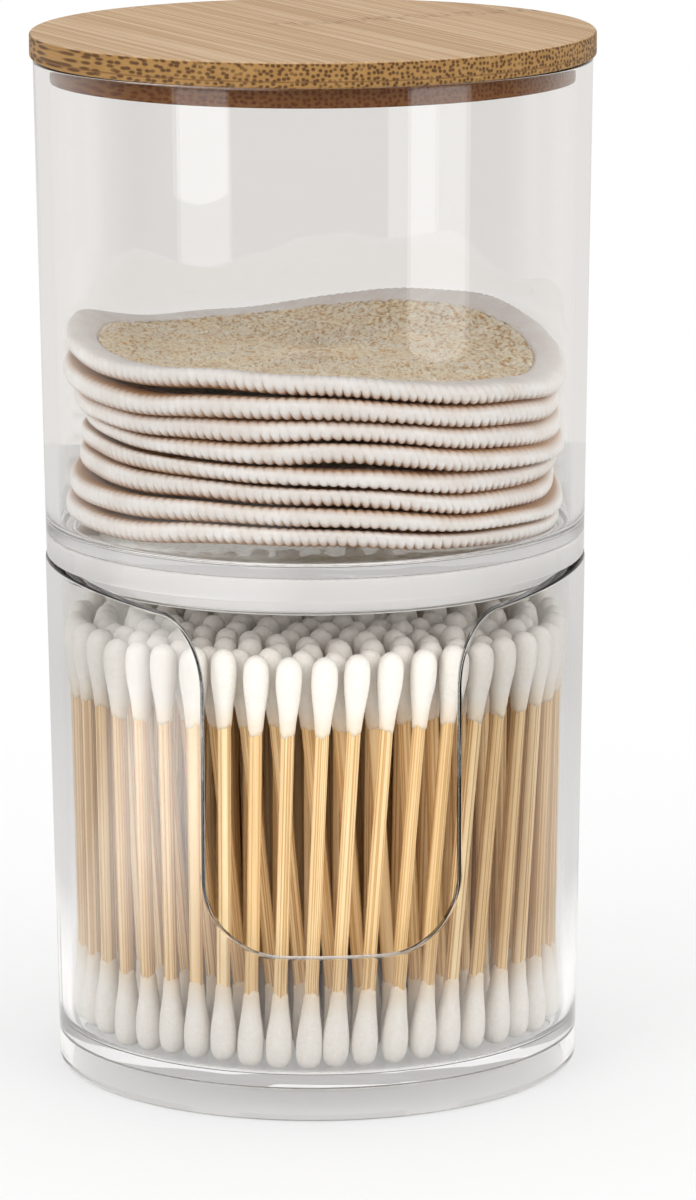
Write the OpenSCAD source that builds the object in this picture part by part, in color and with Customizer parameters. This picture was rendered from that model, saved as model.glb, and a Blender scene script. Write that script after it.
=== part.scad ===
// Stacking holder for cotton swabs and round cotton pads.
// Two clear cups stand one on the other under a bamboo plug lid. The lower cup has an open front
// and is full of two-ended swabs. The upper cup holds a stack of eight sewn terry pads.
// Millimetres, +Z up, front towards -Y, origin on the table under the middle of the base.

/* [Lower cup] */
// Outside diameter of the lower cup at the table
base_d = 95; // [93:0.5:120]
// How much wider the radius is at the lower cup's rim than at the table
lower_flare = 1.4; // [0.4:0.1:3]
// Height of the lower cup's rim above the table
lower_h = 94; // [90:1:120]
// Wall of both cups
wall = 2.4; // [1.6:0.1:2.8]
// Thickness of both cups' floors
floor_t = 2.2; // [1.5:0.1:3.5]
// Height of the hollow under the lower cup's floor
base_gap = 5.8; // [4.5:0.1:9]
// Round where the outside meets the table
base_round = 0.8; // [0.3:0.1:1.5]
// Round between wall and floor inside both cups
inner_round = 1.5; // [0.5:0.1:2.5]

/* [Front window] */
// Width of the slot in the front
slot_w = 44.6; // [30:0.5:52]
// Height of the slot's lower edge above the table
slot_z = 30; // [22:1:50]
// Round of the slot's two lower corners
slot_corner_r = 13; // [4:0.5:15]
// Width of the soft shoulder between the slot and the rim
shoulder_w = 8; // [4:0.5:12]
// Depth of that shoulder
shoulder_h = 14; // [6:0.5:20]
// How far the front rim falls from the sides to the shoulders
sill_drop = 3.2; // [1:0.1:5]

/* [Upper cup] */
// Height of the upper cup from its shoulder to its rim
upper_h = 90; // [76:1:120]
// How much wider the radius is at the upper cup's rim than at its shoulder
upper_flare = 1.3; // [0.4:0.1:3]
// How far the upper cup's side stands back from the lower rim
seam_step = 0.2; // [0:0.05:0.5]
// How deep the foot ring reaches into the lower cup
foot_h = 2.6; // [1.6:0.1:5]
// Clearance between the foot ring and the lower rim
nest_gap = 0.3; // [0.15:0.05:0.5]
// Height of the upper floor's underside above the shoulder
upper_floor_gap = 3.8; // [2.5:0.1:7]

/* [Lid] */
// Thickness of the lid's disc
lid_t = 4.5; // [3:0.1:8]
// How far the disc stands over the upper cup's rim
lid_overhang = 0.6; // [0:0.1:2]
// Round of the disc's edges
lid_round = 0.6; // [0.2:0.1:1.2]
// Depth of the plug under the disc
plug_h = 3.7; // [2:0.1:8]
// Clearance between the plug and the cup's wall
plug_gap = 0.65; // [0.3:0.05:1]

/* [Pads] */
// Thickness of a pad's sewn edge
pad_t = 3.2; // [2.2:0.1:4]
// Thickness of a pad's terry face
terry_t = 2.6; // [1.6:0.1:3.2]
// Mean space between two pads
pad_gap = 0.7; // [0.6:0.05:1.2]
// Width of the sewn edge
edging_w = 6; // [3:0.5:10]
// Clearance between the pads and the cup's wall
pad_side_gap = 1.1; // [0.9:0.1:4]
// Height of the waves in the pads' edges
pad_wave = 2; // [0:0.1:2.2]

/* [Swabs] */
// Length of a swab
swab_l = 75; // [60:1:80]
// Diameter of the bamboo stick
stick_d = 2.5; // [1.8:0.1:3]
// Widest diameter of a cotton bud
bud_d = 4.7; // [3.6:0.1:5]
// Length of a cotton bud
bud_l = 14; // [9:0.5:20]
// Least space between swabs side by side in a row
swab_gap = 0.65; // [0.6:0.05:1.5]
// Clearance between a swab and the cup
swab_clear = 0.3; // [0.2:0.05:1]

/* [Hidden] */
$fn = 96;
PADS = 8;
ROWS = 9;

// Lower cup: radii at the table and at the rim, and its floor
base_r = base_d / 2;
lower_rim_r = base_r + lower_flare;
lower_floor = base_gap + floor_t;
lower_floor_r = base_r + lower_flare * lower_floor / lower_h - wall;

// Upper cup: it stands with its shoulder on the lower rim
upper_r = lower_rim_r - seam_step;
upper_rim_r = upper_r + upper_flare;
upper_rim = lower_h + upper_h;
foot_r = lower_rim_r - wall - nest_gap;
upper_floor = lower_h + upper_floor_gap + floor_t;
upper_floor_r = upper_r + upper_flare * (upper_floor - lower_h) / upper_h - wall;

// Pads: the radius, the first pad's middle height and the step from one to the next
pad_r = upper_floor_r - pad_side_gap;
terry_clear = 0.3;
terry_r = pad_r - edging_w - terry_clear;
pad_floor_gap = 0.3;
pad_first = upper_floor + pad_floor_gap + pad_t / 2;
pad_step = pad_t + pad_gap;
pad_sectors = 30;
terry_rings = 3;

// Swabs: the outer row's radius, the step between rows, and how far a row opens towards its top
swab_outer_r = lower_floor_r - bud_d / 2 - swab_clear;
row_step = swab_outer_r / (ROWS - 1);
row_spread = lower_flare * swab_l / lower_h / swab_outer_r;
stick_inset = 2.5;
bud_lip = 0.2;
lean_wave = 5;

function arc_points(cx, cy, r, from, to, steps) =
    [for (i = [0 : steps]) let (a = from + (to - from) * i / steps) [cx + r * cos(a), cy + r * sin(a)]];

// Section of a cup's inside: floor, round and flared wall, past the rim by 1 mm
module cup_inside(floor_z, floor_r, rim_z, rim_r) {
    slope = (rim_r - floor_r) / (rim_z - floor_z);
    rotate_extrude()
        polygon(concat(
            [[0, floor_z]],
            arc_points(floor_r - inner_round, floor_z + inner_round, inner_round, -90, 0, 6),
            [[rim_r + slope, rim_z + 1], [0, rim_z + 1]]
        ));
}

// Outline of the front opening in the XZ plane: sloping sills, soft shoulders and a round-cornered slot
function window_half() =
    let (
        half = slot_w / 2,
        top = lower_h - sill_drop,
        last = 84
    )
    concat(
        arc_points(half - slot_corner_r, slot_z + slot_corner_r, slot_corner_r, -90, 0, 10),
        [for (i = [0 : 10]) let (t = last * i / 10)
            [half + shoulder_w * (1 - cos(t)), top - shoulder_h + shoulder_h * sin(t)]],
        [[lower_rim_r + 0.1, lower_h], [lower_rim_r + 5, lower_h + 5]]
    );

module front_window() {
    right = window_half();
    left = [for (i = [len(right) - 1 : -1 : 0]) [-right[i][0], right[i][1]]];
    rotate([90, 0, 0])
        linear_extrude(height = base_d)
            polygon(concat(left, right));
}

module lower_cup() {
    color([0.93, 0.95, 0.96, 0.35])
        difference() {
            rotate_extrude()
                polygon(concat(
                    [[0, 0]],
                    arc_points(base_r - base_round, base_round, base_round, -90, 0, 4),
                    [[lower_rim_r, lower_h], [0, lower_h]]
                ));
            cup_inside(lower_floor, lower_floor_r, lower_h, lower_rim_r - wall);
            translate([0, 0, -1])
                cylinder(h = base_gap + 1, r = base_r - wall);
            front_window();
        }
}

module upper_cup() {
    color([0.93, 0.95, 0.96, 0.35])
        difference() {
            rotate_extrude()
                polygon([
                    [0, lower_h - foot_h],
                    [foot_r, lower_h - foot_h],
                    [foot_r, lower_h],
                    [upper_r, lower_h],
                    [upper_rim_r, upper_rim],
                    [0, upper_rim]
                ]);
            cup_inside(upper_floor, upper_floor_r, upper_rim, upper_rim_r - wall);
            translate([0, 0, lower_h - foot_h - 1])
                cylinder(h = foot_h + upper_floor_gap + 1, r = foot_r - wall);
        }
}

// Lid: a bamboo disc with its plug turned from the same board
module lid() {
    disc_r = upper_rim_r + lid_overhang;
    top = upper_rim + lid_t;
    color([0.80, 0.66, 0.46])
        rotate_extrude()
            polygon(concat(
                [[0, upper_rim - plug_h], [upper_rim_r - wall - plug_gap, upper_rim - plug_h],
                 [upper_rim_r - wall - plug_gap, upper_rim]],
                arc_points(disc_r - lid_round, upper_rim + lid_round, lid_round, -90, 0, 4),
                arc_points(disc_r - lid_round, top - lid_round, lid_round, 0, 90, 4),
                [[0, top]]
            ));
}

// Rise of a pad's rim at an angle from the front: the lowest pad waves little, the top one most
function rim_wave(k, a) =
    let (up = (k - 1) / (PADS - 1))
    pad_wave * (0.8 + 0.5 * cos(2 * a + 20) + 0.35 * cos(3 * a)
        + up * (0.6 + 0.8 * cos(a + 130) + 0.9 * cos(2 * a + 110) + 0.5 * cos(3 * a - 70)));

function pad_height(k, r, a) = pad_first + (k - 1) * pad_step + rim_wave(k, a) * pow(r / pad_r, 3);

// A small shift of each pad keeps the stack from looking machined
function pad_shift(k) = pad_side_gap * 0.35 * [cos(137 * k), sin(137 * k)];

function pad_point(k, r, a, dz) =
    [r * sin(a) + pad_shift(k)[0], -r * cos(a) + pad_shift(k)[1], pad_height(k, r, a) + dz];

// Terry face: a wavy disc, closed between its top and bottom skins
module pad_terry(k) {
    n = pad_sectors;
    skin = terry_rings * n;
    half = terry_t / 2;
    points = concat(
        [for (side = [half, -half]) for (j = [1 : terry_rings]) for (i = [0 : n - 1])
            pad_point(k, terry_r * j / terry_rings, i * 360 / n, side)],
        [pad_point(k, 0, 0, half), pad_point(k, 0, 0, -half)]
    );
    top_ring = [for (j = [0 : terry_rings - 2]) for (i = [0 : n - 1]) let (b = (i + 1) % n)
        each [[j * n + i, (j + 1) * n + i, (j + 1) * n + b], [j * n + i, (j + 1) * n + b, j * n + b]]];
    low_ring = [for (f = top_ring) [f[0] + skin, f[2] + skin, f[1] + skin]];
    edge = (terry_rings - 1) * n;
    side = [for (i = [0 : n - 1]) let (b = (i + 1) % n)
        each [[edge + i, skin + edge + i, skin + edge + b], [edge + i, skin + edge + b, edge + b]]];
    caps = [for (i = [0 : n - 1]) let (b = (i + 1) % n)
        each [[2 * skin, i, b], [2 * skin + 1, skin + b, skin + i]]];
    color([0.82, 0.73, 0.60])
        polyhedron(points, [for (f = concat(top_ring, low_ring, side, caps)) [f[2], f[1], f[0]]]);
}

// Overlocked edge: a six-sided ring of thread that follows the same waves
module pad_edging(k) {
    n = pad_sectors;
    m = 6;
    inner = pad_r - edging_w;
    section = [
        [inner, -0.35 * pad_t], [inner + 0.3 * edging_w, -0.5 * pad_t], [pad_r - 0.2 * edging_w, -0.42 * pad_t],
        [pad_r, 0], [pad_r - 0.25 * edging_w, 0.5 * pad_t], [inner, 0.4 * pad_t]
    ];
    points = [for (i = [0 : n - 1]) for (s = section) pad_point(k, s[0], i * 360 / n, s[1])];
    faces = [for (i = [0 : n - 1]) for (j = [0 : m - 1])
        let (a = i * m + j, b = i * m + (j + 1) % m, c = ((i + 1) % n) * m + (j + 1) % m, d = ((i + 1) % n) * m + j)
        each [[a, b, c], [a, c, d]]];
    color([0.93, 0.90, 0.86])
        polyhedron(points, faces);
}

// Swabs stand in rings. Row 1 is against the wall, and the last row is the one in the middle.
function row_r(k) = swab_outer_r - (k - 1) * row_step;
function row_count(k) = k == ROWS ? 1 : floor(360 / 2 / asin((bud_d + swab_gap) / 2 / row_r(k)));
function row_lean(k, a) = k == ROWS ? 0 : (k % 2 == 1 ? 4 + k / 2 : -5 - k / 2) + lean_wave * cos(2 * a - 30 - 50 * k);

// Places its child, made upright from the floor, along one leaning swab
module along_swab(k, i) {
    a = 360 * i / row_count(k) + 11 * k;
    lean = row_lean(k, a);
    low_a = a - lean / 2;
    high_a = a + lean / 2;
    low = row_r(k) * [sin(low_a), -cos(low_a)];
    high = row_r(k) * (1 + row_spread) * [sin(high_a), -cos(high_a)];
    run = high - low;
    tilt = asin(norm(run) / swab_l);
    translate([low[0], low[1], lower_floor + swab_clear + bud_d / 2])
        rotate([0, 0, atan2(run[1], run[0])])
            rotate([0, tilt, 0])
                translate([0, 0, -bud_d / 2])
                    children();
}

module swab_sticks(k) {
    color([0.88, 0.76, 0.58])
        for (i = [0 : row_count(k) - 1])
            along_swab(k, i)
                translate([0, 0, stick_inset])
                    cylinder(h = swab_l - 2 * stick_inset, r = stick_d / 2, $fn = 24);
}

// Cotton bud: a drop wound round the stick's end, with a round tip and a long taper
module cotton_bud() {
    color([0.97, 0.97, 0.96])
        difference() {
            translate([0, 0, bud_d / 2]) {
                sphere(r = bud_d / 2, $fn = 24);
                cylinder(h = bud_l - bud_d / 2, r1 = bud_d / 2, r2 = stick_d / 2 + bud_lip, $fn = 24);
            }
            translate([0, 0, stick_inset])
                cylinder(h = bud_l, r = stick_d / 2, $fn = 24);
        }
}

module swab_buds(k) {
    color([0.97, 0.97, 0.96])
        for (i = [0 : row_count(k) - 1])
            along_swab(k, i) {
                cotton_bud();
                translate([0, 0, swab_l])
                    mirror([0, 0, 1])
                        cotton_bud();
            }
}

lower_cup();
upper_cup();
lid();
for (k = [1 : PADS]) {
    pad_terry(k);
    pad_edging(k);
}
for (k = [1 : ROWS]) {
    swab_sticks(k);
    swab_buds(k);
}
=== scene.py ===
import math

import bpy
import numpy as np
from mathutils import Matrix


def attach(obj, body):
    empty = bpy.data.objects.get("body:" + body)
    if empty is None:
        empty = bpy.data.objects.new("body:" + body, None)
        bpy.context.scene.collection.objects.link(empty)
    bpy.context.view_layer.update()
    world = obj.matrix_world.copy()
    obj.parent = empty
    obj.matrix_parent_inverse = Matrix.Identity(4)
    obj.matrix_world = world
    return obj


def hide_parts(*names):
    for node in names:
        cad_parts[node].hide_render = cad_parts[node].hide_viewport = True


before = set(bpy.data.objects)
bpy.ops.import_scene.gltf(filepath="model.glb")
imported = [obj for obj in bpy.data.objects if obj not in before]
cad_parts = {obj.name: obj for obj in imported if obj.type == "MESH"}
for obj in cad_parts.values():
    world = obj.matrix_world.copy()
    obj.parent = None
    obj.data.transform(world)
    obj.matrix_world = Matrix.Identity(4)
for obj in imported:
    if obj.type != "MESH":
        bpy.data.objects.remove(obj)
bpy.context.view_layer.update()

# Camera: a long lens about a metre away, a little above the lid, turned slightly to the right.
# The place and the lens were worked out from the rims, floors and swab tips in the photograph.
camera = bpy.data.objects.new("camera", bpy.data.cameras.new("camera"))
bpy.context.scene.collection.objects.link(camera)
camera.data.lens = 179.9
camera.data.sensor_width = 36.0
camera.data.clip_end = 30.0
camera.matrix_world = (
    Matrix.Translation((-0.0670, -1.0649, 0.3105))
    @ Matrix.Rotation(math.radians(-3.917), 4, "Z")
    @ Matrix.Rotation(math.radians(78.037), 4, "X")
    @ Matrix.Rotation(math.radians(-0.202), 4, "Z")
)
bpy.context.scene.camera = camera


# Lower cup: one clear moulding, a hollow base ring, a floor and a wall that leans out a little.
# The front is cut away by a round-cornered slot whose sides flare in soft shoulders to the rim,
# and every edge of it is broken by a small round, as the mould leaves it.
MM = 0.001
BASE_R, LOWER_RIM_R, LOWER_H = 47.5, 48.9, 94.0
WALL, LOWER_FLOOR, LOWER_FLOOR_R = 2.4, 8.0, 45.22
BASE_ROUND, INNER_ROUND, EDGE_ROUND = 0.8, 1.5, 0.45
SLOT_HALF, SLOT_Z, SLOT_CORNER = 22.3, 30.0, 13.0
SHOULDER_W, SHOULDER_H, SHOULDER_TOP = 8.0, 14.0, 90.8
SKIRT_Z, RECESS_Z = 26.0, 5.8
SILL_X, SILL_Z = 29.46, 90.72  # where the shoulder's round ends
RIM_DROP = 0.06  # air left under the upper cup's shoulder


def paint(red, green, blue):
    """A colour given as on screen, 0 to 255, as the shader's linear values."""
    screen = np.array([red, green, blue]) / 255
    linear = np.where(screen <= 0.04045, screen / 12.92, ((screen + 0.055) / 1.055) ** 2.4)
    return (*[float(v) for v in linear], 1.0)


def node(tree, kind, inputs=None, **options):
    """Adds a shader node, sets its options, and fills or joins its input sockets."""
    made = tree.nodes.new("ShaderNode" + kind)
    for option, value in options.items():
        setattr(made, option, value)
    for key, value in (inputs or {}).items():
        if isinstance(value, bpy.types.NodeSocket):
            tree.links.new(value, made.inputs[key])
        else:
            made.inputs[key].default_value = value
    return made


def blank_material(name):
    material = bpy.data.materials.new(name)
    material.use_nodes = True
    material.node_tree.nodes.clear()
    return material, material.node_tree


def arc(cx, cz, radius, start, end, steps):
    """Points on a round of a section, angles in degrees."""
    a = np.radians(np.linspace(start, end, steps + 1))
    return np.stack([cx + radius * np.cos(a), cz + radius * np.sin(a)], -1)


def ring_quads(rows, columns):
    """Faces between neighbouring rings of points; the section runs up the outside, so they face out."""
    here = np.arange(columns)
    beside = (here + 1) % columns
    row = np.arange(rows - 1)[:, None] * columns
    return np.stack([row + here, row + beside, row + columns + beside, row + columns + here], -1).reshape(-1, 4)


def make_piece(name, points, faces, material, body, nodes, values=None):
    """One mesh piece from points in millimetres, on its body and in the place of its CAD nodes."""
    mesh = bpy.data.meshes.new(name)
    mesh.from_pydata((np.asarray(points) * MM).tolist(), [], [list(map(int, f)) for f in faces])
    mesh.polygons.foreach_set("use_smooth", [True] * len(mesh.polygons))
    for key, data in (values or {}).items():
        attribute = mesh.attributes.new(key, "FLOAT", "POINT")
        attribute.data.foreach_set("value", np.asarray(data, np.float32).ravel())
    mesh.materials.append(material)
    piece = bpy.data.objects.new(name, mesh)
    bpy.context.scene.collection.objects.link(piece)
    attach(piece, body)
    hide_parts(*nodes)
    return piece


def turned(name, grid, first_centre, last_centre, material, body, nodes, normals=None, other=None):
    """A closed piece from rings of points whose section starts and ends on the axis."""
    rows, columns, _ = grid.shape
    points = np.concatenate([grid.reshape(-1, 3), [first_centre, last_centre]])
    start, end = rows * columns, rows * columns + 1
    here = np.arange(columns)
    beside = (here + 1) % columns
    last = (rows - 1) * columns
    faces = ring_quads(rows, columns).tolist()
    faces += np.stack([np.full(columns, start), beside, here], -1).tolist()
    faces += np.stack([last + here, last + beside, np.full(columns, end)], -1).tolist()
    piece = make_piece(name, points, faces, material, body, nodes)
    if normals is not None:
        mesh = piece.data
        true = np.array([v.vector for v in mesh.vertex_normals])
        known = np.abs(normals).sum(-1).reshape(-1) > 0
        true[: rows * columns][known] = normals.reshape(-1, 3)[known]
        mesh.normals_split_custom_set_from_vertices(true.tolist())
    if other:
        second, start_row, end_row = other
        piece.data.materials.append(second)
        which = np.zeros(len(piece.data.polygons), np.int32)
        which[start_row * columns: end_row * columns] = 1
        piece.data.polygons.foreach_set("material_index", which)
    return piece


# Clear styrene: almost colourless through the wall, faintly violet where light runs along it,
# with the slow waves that the melt leaves as it fills the mould. Lamps shine through it.
clear_moulding, tree = blank_material("clear_moulding")
place = node(tree, "TexCoord")
stretch = node(tree, "Mapping", {"Vector": place.outputs["Object"], "Scale": (1.0, 1.0, 0.16)})
flow = node(tree, "TexNoise", {"Vector": stretch.outputs[0], "Scale": 70.0, "Detail": 1.0})
ripple = node(tree, "Bump", {"Strength": 0.12, "Distance": 0.0004, "Height": flow.outputs[0]})
plastic = node(tree, "BsdfPrincipled", {
    "Base Color": (1.0, 1.0, 1.0, 1.0), "Roughness": 0.0, "IOR": 1.57,
    "Transmission Weight": 1.0, "Normal": ripple.outputs[0],
})
lamp_rays = node(tree, "LightPath")
let_through = node(tree, "BsdfTransparent", {"Color": (0.98, 0.98, 0.982, 1.0)})
either = node(tree, "MixShader", {
    0: lamp_rays.outputs["Is Shadow Ray"], 1: plastic.outputs[0], 2: let_through.outputs[0],
})
tint = node(tree, "VolumeAbsorption", {"Color": (0.66, 0.66, 0.72, 1.0), "Density": 3.0})
node(tree, "OutputMaterial", {"Surface": either.outputs[0], "Volume": tint.outputs[0]})


def lower_outer_r(z):
    return BASE_R + (LOWER_RIM_R - BASE_R) * (z - BASE_ROUND) / (LOWER_H - BASE_ROUND)


def lower_inner_r(z):
    return LOWER_FLOOR_R + (LOWER_RIM_R - WALL - LOWER_FLOOR_R) * (z - LOWER_FLOOR) / (LOWER_H - LOWER_FLOOR)


def on_cup(radius, angle, z):
    """Points on a cup's wall, angle in radians from the front towards +X."""
    return np.stack([radius * np.sin(angle), -radius * np.cos(angle), z], -1)


# The free edge of the wall: x and z along the slot, the shoulder and the sill, then the rim by angle.
rim_z = LOWER_H - RIM_DROP
half_flat = SLOT_HALF - SLOT_CORNER
shoulder = np.radians(np.linspace(0, 84, 27))
sill_x = np.linspace(29.5, LOWER_RIM_R * 0.9995, 46)[1:]
side_top = SHOULDER_TOP - SHOULDER_H
slot_parts = [
    np.stack([np.linspace(0, half_flat, 9)[:-1], np.full(8, SLOT_Z)], -1),
    arc(half_flat, SLOT_Z + SLOT_CORNER, SLOT_CORNER, -90, 0, 24),
    np.stack([np.full(25, SLOT_HALF), np.linspace(SLOT_Z + SLOT_CORNER, side_top, 27)[1:-1]], -1),
    np.stack([SLOT_HALF + SHOULDER_W * (1 - np.cos(shoulder)), side_top + SHOULDER_H * np.sin(shoulder)], -1),
    np.stack([sill_x, np.interp(sill_x, [SILL_X, 49.0], [SILL_Z, LOWER_H]) - RIM_DROP], -1),
]
slot_edge = np.concatenate(slot_parts)
corner_at, side_at, shoulder_at, sill_at, rim_at = np.cumsum([len(part) for part in slot_parts])
slot_angle = np.arcsin(np.clip(slot_edge[:, 0] / lower_outer_r(slot_edge[:, 1]), 0, 1))
rim_angle = np.radians(np.linspace(90, 180, 61))[1:]
edge_angle = np.concatenate([slot_angle, rim_angle])
edge_z = np.concatenate([slot_edge[:, 1], np.full(len(rim_angle), rim_z)])
edge_z = np.minimum(edge_z, rim_z)
# Where each column of wall points starts below the slot, in degrees: beside the slot, never under
# its opening. Each stretch of the edge has its own fan of columns.
CORNER_FOOT, SIDE_FOOT, SHOULDER_FOOT = 30, 37, 45
edge_turn = np.degrees(edge_angle)
foot_turn = edge_turn.copy()
foot_turn[corner_at:side_at] = np.linspace(edge_turn[corner_at], CORNER_FOOT, side_at - corner_at)
foot_turn[side_at:shoulder_at] = np.linspace(CORNER_FOOT, SIDE_FOOT, shoulder_at - side_at + 2)[1:-1]
foot_turn[shoulder_at:sill_at] = np.linspace(SIDE_FOOT, SHOULDER_FOOT, sill_at - shoulder_at)
foot_turn[sill_at:rim_at] = np.linspace(SHOULDER_FOOT, edge_turn[rim_at - 1], rim_at - sill_at + 1)[1:]
foot_angle = np.radians(foot_turn)

outer = on_cup(lower_outer_r(edge_z), edge_angle, edge_z)
same_x = np.arcsin(np.clip(outer[:, 0] / lower_inner_r(edge_z), 0, 0.999))
# The cut goes straight through from front to back at the slot and turns square to the wall behind it.
square = np.clip((edge_turn - 34) / 30, 0, 1)
square = square * square * (3 - 2 * square)
inner_angle = np.where(square < 1, same_x * (1 - square) + edge_angle * square, edge_angle)
inner = on_cup(lower_inner_r(edge_z), inner_angle, edge_z)


def into_wall(edge, angle):
    """Unit steps from the free edge into the material, along the wall."""
    along = np.gradient(edge, axis=0)
    outward = np.stack([np.sin(angle), -np.cos(angle), np.zeros_like(angle)], -1)
    step = np.cross(along, outward)
    step[0] = (0, 0, -1)
    return step / np.linalg.norm(step, axis=-1, keepdims=True)


def corner(start, tip, end, steps):
    """A round drawn from start to end with its corner at tip."""
    t = np.linspace(0, 1, steps + 1)[:, None, None]
    return (1 - t) ** 2 * start + 2 * t * (1 - t) * tip + t ** 2 * end


across = (inner - outer) / np.linalg.norm(inner - outer, axis=-1, keepdims=True)
outer_start = outer + EDGE_ROUND * into_wall(outer, edge_angle)
inner_end = inner + EDGE_ROUND * into_wall(inner, inner_angle)
lip = np.concatenate([
    corner(outer_start, outer, outer + EDGE_ROUND * across, 6),
    [outer * (1 - t) + inner * t for t in (0.25, 0.5, 0.75)],
    corner(inner - EDGE_ROUND * across, inner, inner_end, 6),
])


SKIRT_ROWS = 34


def skirt(radius_of, top, steps):
    """Rows of wall points from the closed part of the cup up to just under the free edge."""
    top_angle = np.arctan2(top[:, 0], -top[:, 1])
    t = (1 - (1 - np.linspace(0, 1, steps + 1)) ** 1.4)[:-1, None]
    angle = foot_angle * (1 - t) + top_angle * t
    z = SKIRT_Z * (1 - t) + top[:, 2] * t
    return on_cup(radius_of(z), angle, z)


def closed_rows(section):
    """Rows that go all the way round, from points of the section as radius and height."""
    section = np.asarray(section)
    radius = np.repeat(section[:, :1], len(foot_angle), 1)
    height = np.repeat(section[:, 1:], len(foot_angle), 1)
    return on_cup(radius, np.broadcast_to(foot_angle, radius.shape), height)


ring_inner = BASE_R - WALL
below = np.concatenate([
    [[r, RECESS_Z] for r in (1, 6, 14, 22, 30, 38, 43, 44.2)],
    arc(ring_inner - 0.5, RECESS_Z - 0.5, 0.5, 90, 0, 4),
    [[ring_inner, z] for z in (5.0, 3.6, 2.2, 0.9)],
    arc(ring_inner + 0.4, 0.4, 0.4, 180, 270, 4),
    [[46.1, 0.0]],
    arc(BASE_R - BASE_ROUND, BASE_ROUND, BASE_ROUND, -90, 0, 6),
    [[lower_outer_r(z), z] for z in (1.1, 3, 6, 10, 15, 20)],
])
inside = np.concatenate([
    [[lower_inner_r(z), z] for z in (SKIRT_Z, 22, 18, 14, 11, 9.9)],
    arc(LOWER_FLOOR_R - INNER_ROUND, LOWER_FLOOR + INNER_ROUND, INNER_ROUND, 0, -90, 8),
    [[r, LOWER_FLOOR] for r in (43.3, 42, 36, 28, 20, 12, 5, 1)],
])
outer_skirt = skirt(lower_outer_r, outer_start, SKIRT_ROWS)
inner_skirt = skirt(lower_inner_r, inner_end, SKIRT_ROWS)[1:][::-1]
half_grid = np.concatenate([closed_rows(below), outer_skirt, lip, inner_skirt, closed_rows(inside)])
mirrored = half_grid[:, -2:0:-1] * (-1, 1, 1)
grid = np.concatenate([half_grid, mirrored], 1)
# The wall's own normals, so that the long faces beside the slot show no facets.
grid_normals = np.zeros_like(grid)
around = np.arctan2(grid[..., 0], -grid[..., 1])
radial = np.stack([np.sin(around), -np.cos(around), np.zeros_like(around)], -1)
lean = (LOWER_RIM_R - BASE_R) / LOWER_H
outside_rows = slice(len(below), len(below) + SKIRT_ROWS)
grid_normals[outside_rows] = radial[outside_rows] - (0, 0, lean)
inside_start = len(below) + SKIRT_ROWS + len(lip)
inside_rows = slice(inside_start, inside_start + SKIRT_ROWS - 1)
grid_normals[inside_rows] = -radial[inside_rows] + (0, 0, lean)
turned("lower_cup_moulding", grid, (0, 0, RECESS_Z), (0, 0, LOWER_FLOOR), clear_moulding, "lower",
       ["lower_cup"], grid_normals)


# Swabs: two-ended, a thin bamboo stick with cotton wound on both ends. They stand on the floor
# in rings and lean against each other, each ring leaning the other way from the one outside it.
SWAB_L, STICK_R, BUD_R, BUD_L = 75.0, 1.25, 2.35, 14.0
SWAB_OUTER_R, ROW_STEP, ROW_SPREAD = 42.57, 5.32125, 0.0262238
BUD_GAP = 0.65  # air between the buds of a ring, in the CAD's count
ROWS = 9
rng = np.random.default_rng(75)


def bamboo_group():
    """Bamboo in any cut: dark vessels that show as dots on end grain and as streaks along it."""
    group = bpy.data.node_groups.new("bamboo_fibre", "ShaderNodeTree")
    face = group.interface
    face.new_socket("Vector", in_out="INPUT", socket_type="NodeSocketVector")
    face.new_socket("Vessels", in_out="INPUT", socket_type="NodeSocketFloat")
    for name in ("Pith", "Vessel", "Streak"):
        face.new_socket(name, in_out="INPUT", socket_type="NodeSocketColor")
    face.new_socket("Color", in_out="OUTPUT", socket_type="NodeSocketColor")
    face.new_socket("Height", in_out="OUTPUT", socket_type="NodeSocketFloat")
    given = group.nodes.new("NodeGroupInput")
    cells = node(group, "TexVoronoi", {
        "Vector": given.outputs["Vector"], "Scale": given.outputs["Vessels"], "Randomness": 0.7,
    }, voronoi_dimensions="2D")
    round_dots = node(group, "MapRange", {
        "Value": cells.outputs["Distance"], "From Min": 0.44, "From Max": 0.26,
    })
    finer = node(group, "Math", {0: given.outputs["Vessels"], 1: 0.35}, operation="MULTIPLY")
    streaks = node(group, "TexNoise", {
        "Vector": given.outputs["Vector"], "Scale": finer.outputs[0], "Detail": 5.0, "Roughness": 0.65,
    })
    bands = node(group, "MapRange", {"Value": streaks.outputs[0], "From Min": 0.36, "From Max": 0.66})
    strong = node(group, "MapRange", {
        "Value": streaks.outputs[0], "From Min": 0.3, "From Max": 0.5, "To Min": 0.35,
    })
    dots = node(group, "Math", {0: round_dots.outputs[0], 1: strong.outputs[0]}, operation="MULTIPLY")
    streaked = node(group, "Mix", {
        0: bands.outputs[0], 6: given.outputs["Pith"], 7: given.outputs["Streak"],
    }, data_type="RGBA")
    dotted = node(group, "Mix", {
        0: dots.outputs[0], 6: streaked.outputs[2], 7: given.outputs["Vessel"],
    }, data_type="RGBA")
    depth = node(group, "Math", {0: streaks.outputs[0], 1: dots.outputs[0]}, operation="SUBTRACT")
    put = group.nodes.new("NodeGroupOutput")
    group.links.new(dotted.outputs[2], put.inputs["Color"])
    group.links.new(depth.outputs[0], put.inputs["Height"])
    return group


bamboo_fibre = bamboo_group()


def bamboo(tree, where, vessels, pith, vessel, streak):
    """The bamboo effect in a material; colours as on screen."""
    return node(tree, "Group", {
        "Vector": where, "Vessels": vessels,
        "Pith": paint(*pith), "Vessel": paint(*vessel), "Streak": paint(*streak),
    }, node_tree=bamboo_fibre)


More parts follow.
